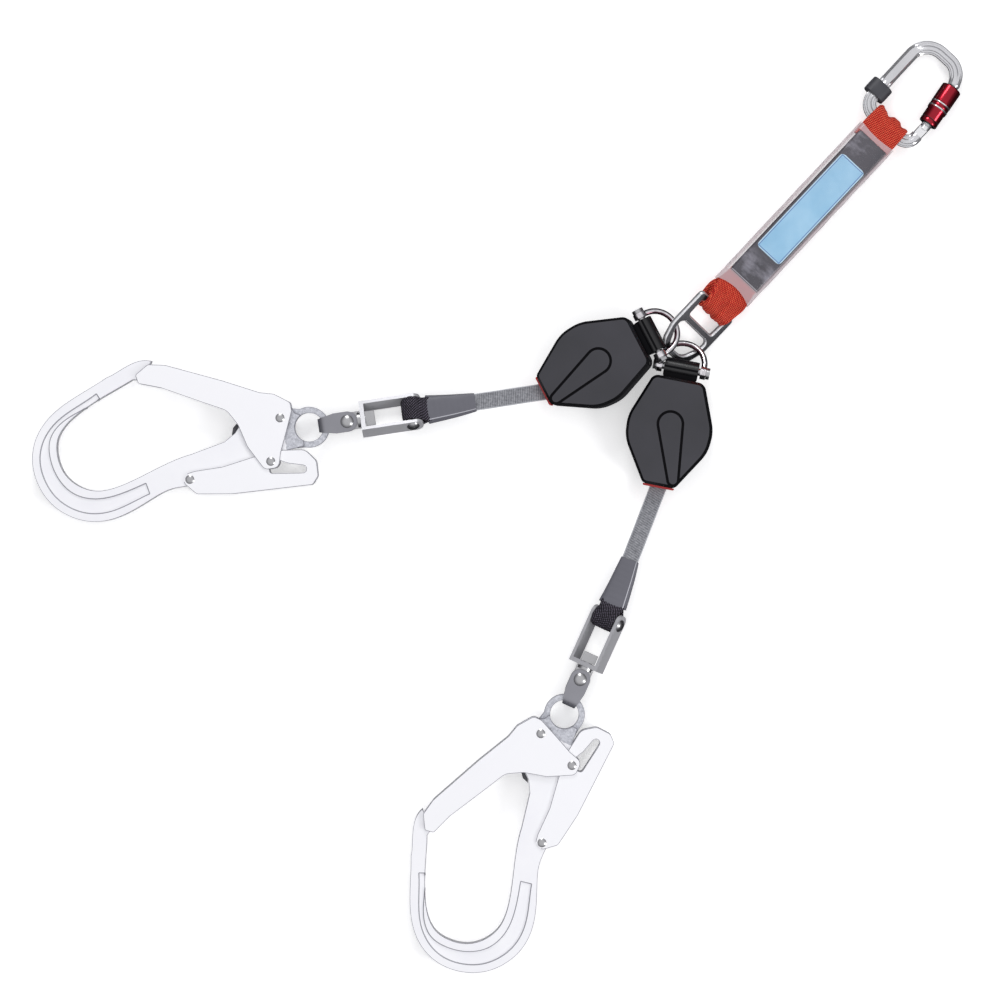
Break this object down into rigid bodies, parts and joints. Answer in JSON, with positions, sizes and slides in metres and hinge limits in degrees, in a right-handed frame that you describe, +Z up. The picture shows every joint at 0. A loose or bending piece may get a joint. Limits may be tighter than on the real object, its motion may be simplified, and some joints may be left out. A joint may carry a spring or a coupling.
{
  "type": "shock absorbing lanyard",
  "caption": "Twin-leg fall arrest lanyard: webbing energy absorber with a carabiner at one end and retracting webbing legs with scaffold hooks on swivels at the other.",
  "frame": {"origin": "middle of the footprint, on the surface the lanyard lies on", "axes": "+Z up from that surface, +Y along the energy absorber towards the carabiner"},
  "size_m": [0.578, 0.8307, 0.0435],
  "materials": {
    "zinc_steel": "bright zinc plating",
    "aluminium_satin": "satin, clear anodised",
    "gate_sheet": "satin sheet",
    "anodised_red": "crimson anodised",
    "link_steel": "dark satin",
    "polished_steel": "polished",
    "red_webbing": "woven polyester",
    "black_webbing": "woven",
    "grey_webbing": "woven",
    "cover_film": "film",
    "label_film": "plain printed film, no text",
    "clear_film": "clear flexible plastic",
    "housing": "fine textured nylon",
    "black_plastic": "moulded",
    "rubber_black": "moulded",
    "shrink_sleeve": "shrunk tube",
    "spring_steel": "oiled"
  },
  "bodies": {
    "absorber": {"tear_webbing": "red_webbing", "inner_cover": "cover_film", "label": "label_film", "clear_sleeve": "clear_film"},
    "carabiner": {"carabiner_body": "aluminium_satin", "carabiner_keeper": "rubber_black", "gate_pin": "zinc_steel"},
    "carabiner_gate": {"carabiner_gate": "aluminium_satin", "gate_spring": "spring_steel"},
    "sleeve": {"locking_sleeve": "anodised_red"},
    "link": {"connector_link": "link_steel"},
    "left_shackle_set": {"left_shackle": "polished_steel", "left_shackle_bolt": "zinc_steel"},
    "left_reel": {"left_front_shell": "housing", "left_back_shell": "housing", "left_housing_screws": "zinc_steel", "left_exit_guide": "black_plastic", "left_main_spring": "spring_steel"},
    "left_spool_set": {"left_spool": "black_plastic", "left_wound_webbing": "grey_webbing"},
    "left_leg_end": {"left_strap": "grey_webbing", "left_end_sleeve": "shrink_sleeve", "left_webbing_loop": "black_webbing"},
    "left_yoke_set": {"left_yoke": "polished_steel", "left_yoke_pin": "zinc_steel"},
    "left_swivel": {"left_swivel_eye": "zinc_steel"},
    "left_clevis_set": {"left_clevis": "link_steel", "left_clevis_rivet": "zinc_steel"},
    "left_hook": {"left_hook_body": "aluminium_satin", "left_hook_rivets": "zinc_steel", "left_bumper": "rubber_black"},
    "left_gate": {"left_hook_gate": "gate_sheet", "left_lock_pin": "zinc_steel", "left_hook_spring": "spring_steel"},
    "left_lever": {"left_lock_lever": "aluminium_satin"},
    "right_shackle_set": {"right_shackle": "polished_steel", "right_shackle_bolt": "zinc_steel"},
    "right_reel": {"right_front_shell": "housing", "right_back_shell": "housing", "right_housing_screws": "zinc_steel", "right_exit_guide": "black_plastic", "right_main_spring": "spring_steel"},
    "right_spool_set": {"right_spool": "black_plastic", "right_wound_webbing": "grey_webbing"},
    "right_leg_end": {"right_strap": "grey_webbing", "right_end_sleeve": "shrink_sleeve", "right_webbing_loop": "black_webbing"},
    "right_yoke_set": {"right_yoke": "polished_steel", "right_yoke_pin": "zinc_steel"},
    "right_swivel": {"right_swivel_eye": "zinc_steel"},
    "right_clevis_set": {"right_clevis": "link_steel", "right_clevis_rivet": "zinc_steel"},
    "right_hook": {"right_hook_body": "aluminium_satin", "right_hook_rivets": "zinc_steel", "right_bumper": "rubber_black"},
    "right_gate": {"right_hook_gate": "gate_sheet", "right_lock_pin": "zinc_steel", "right_hook_spring": "spring_steel"},
    "right_lever": {"right_lock_lever": "aluminium_satin"}
  },
  "joints": [
    {"name": "carabiner_swing", "type": "hinge", "parent": "absorber", "child": "carabiner", "pos_m": [0.04835, 0.33359, 0.01437], "axis": [1, 0, 0], "range_deg": [-75, 80]},
    {"name": "carabiner_gate_open", "type": "hinge", "parent": "carabiner", "child": "carabiner_gate", "pos_m": [0.07085, 0.35648, 0.01216], "axis": [0, 0.0958, 0.9954], "range_deg": [0, 28], "stiffness_Nm_per_rad": 0.06, "springref_deg": -28.65},
    {"name": "sleeve_twist", "type": "hinge", "parent": "carabiner_gate", "child": "sleeve", "pos_m": [0.06793, 0.37618, 0.01027], "axis": [-0.1461, 0.9847, -0.0948], "range_deg": [-90, 0]},
    {"name": "link_swing", "type": "hinge", "parent": "absorber", "child": "link", "pos_m": [0.04645, 0.12959, 0.01727], "axis": [0.8212, 0.0136, -0.5704], "range_deg": [-60, 60]},
    {"name": "left_shackle_splay", "type": "hinge", "parent": "link", "child": "left_shackle_set", "pos_m": [0.02501, 0.08124, 0.0259], "axis": [0.0171, 0.283, 0.959], "range_deg": [-8, 0]},
    {"name": "left_reel_pitch", "type": "hinge", "parent": "left_shackle_set", "child": "left_reel", "pos_m": [0.02315, 0.07639, 0.02737], "axis": [0.9389, -0.3343, 0.0819], "range_deg": [-45, 0]},
    {"name": "left_strap_pull", "type": "slide", "parent": "left_reel", "child": "left_leg_end", "axis": [-0.6184, -0.7852, -0.0316], "range_m": [0, 1.1], "stiffness_N_per_m": 10, "springref_m": -0.8, "deforming": ["left_strap"]},
    {"name": "left_spool_spin", "type": "hinge", "parent": "left_reel", "child": "left_spool_set", "pos_m": [0.00691, 0.02942, 0.02181], "axis": [-0.1141, -0.0777, 0.9904], "range_deg": [0, 3051]},
    {"name": "left_yoke_swing", "type": "hinge", "parent": "left_leg_end", "child": "left_yoke_set", "pos_m": [-0.07652, -0.10207, 0.01297], "axis": [0.6646, -0.5268, 0.5299], "range_deg": [-60, 60]},
    {"name": "left_swivel_spin", "type": "hinge", "parent": "left_yoke_set", "child": "left_swivel", "pos_m": [-0.10038, -0.13216, 0.01297], "axis": [-0.6211, -0.7837, 0], "continuous": true},
    {"name": "left_clevis_swing", "type": "hinge", "parent": "left_swivel", "child": "left_clevis_set", "pos_m": [-0.10945, -0.1436, 0.01297], "axis": [0, 0, 1], "range_deg": [-20, 20]},
    {"name": "left_hook_swing", "type": "hinge", "parent": "left_clevis_set", "child": "left_hook", "pos_m": [-0.12895, -0.16821, 0.01297], "axis": [0, 0, 1], "range_deg": [-40, 40]},
    {"name": "left_gate_open", "type": "hinge", "parent": "left_hook", "child": "left_gate", "pos_m": [-0.15124, -0.17873, 0.01297], "axis": [0, 0, 1], "range_deg": [0, 40], "stiffness_Nm_per_rad": 0.25, "springref_deg": -28.65},
    {"name": "left_lever_release", "type": "hinge", "parent": "left_hook", "child": "left_lever", "pos_m": [-0.17068, -0.26567, 0.01297], "axis": [0, 0, 1], "range_deg": [0, 6]},
    {"name": "right_shackle_splay", "type": "hinge", "parent": "link", "child": "right_shackle_set", "pos_m": [0.05796, 0.07852, 0.01692], "axis": [-0.2644, 0.3275, 0.9071], "range_deg": [0, 8]},
    {"name": "right_reel_pitch", "type": "hinge", "parent": "right_shackle_set", "child": "right_reel", "pos_m": [0.06045, 0.07429, 0.01917], "axis": [0.8467, 0.5291, 0.0558], "range_deg": [-30, 45]},
    {"name": "right_strap_pull", "type": "slide", "parent": "right_reel", "child": "right_leg_end", "axis": [0.3733, -0.927, -0.037], "range_m": [0, 1.1], "stiffness_N_per_m": 10, "springref_m": -0.8, "deforming": ["right_strap"]},
    {"name": "right_spool_spin", "type": "hinge", "parent": "right_reel", "child": "right_spool_set", "pos_m": [0.08699, 0.03192, 0.01821], "axis": [-0.0372, -0.0459, 0.9983], "range_deg": [0, 3051]},
    {"name": "right_yoke_swing", "type": "hinge", "parent": "right_leg_end", "child": "right_yoke_set", "pos_m": [0.15621, -0.11716, 0.01297], "axis": [0.8023, 0.2747, 0.5299], "range_deg": [-60, 60]},
    {"name": "right_swivel_spin", "type": "hinge", "parent": "right_yoke_set", "child": "right_swivel", "pos_m": [0.16865, -0.15349, 0.01297], "axis": [0.3239, -0.9461, 0], "continuous": true},
    {"name": "right_clevis_swing", "type": "hinge", "parent": "right_swivel", "child": "right_clevis_set", "pos_m": [0.17338, -0.16731, 0.01297], "axis": [0, 0, 1], "range_deg": [-20, 20]},
    {"name": "right_hook_swing", "type": "hinge", "parent": "right_clevis_set", "child": "right_hook", "pos_m": [0.18355, -0.19701, 0.01297], "axis": [0, 0, 1], "range_deg": [-40, 40]},
    {"name": "right_gate_open", "type": "hinge", "parent": "right_hook", "child": "right_gate", "pos_m": [0.17994, -0.22139, 0.01297], "axis": [0, 0, 1], "range_deg": [0, 40], "stiffness_Nm_per_rad": 0.25, "springref_deg": -28.65},
    {"name": "right_lever_release", "type": "hinge", "parent": "right_hook", "child": "right_lever", "pos_m": [0.24148, -0.2858, 0.01297], "axis": [0, 0, 1], "range_deg": [0, 6]}
  ],
  "couplings": [
    {"joint": "left_spool_spin", "follows": "left_strap_pull", "rad_per_m": 48.309},
    {"joint": "left_lever_release", "follows": "left_gate_open", "ratio": 0.15},
    {"joint": "right_spool_spin", "follows": "right_strap_pull", "rad_per_m": 48.309},
    {"joint": "right_lever_release", "follows": "right_gate_open", "ratio": 0.15}
  ]
}
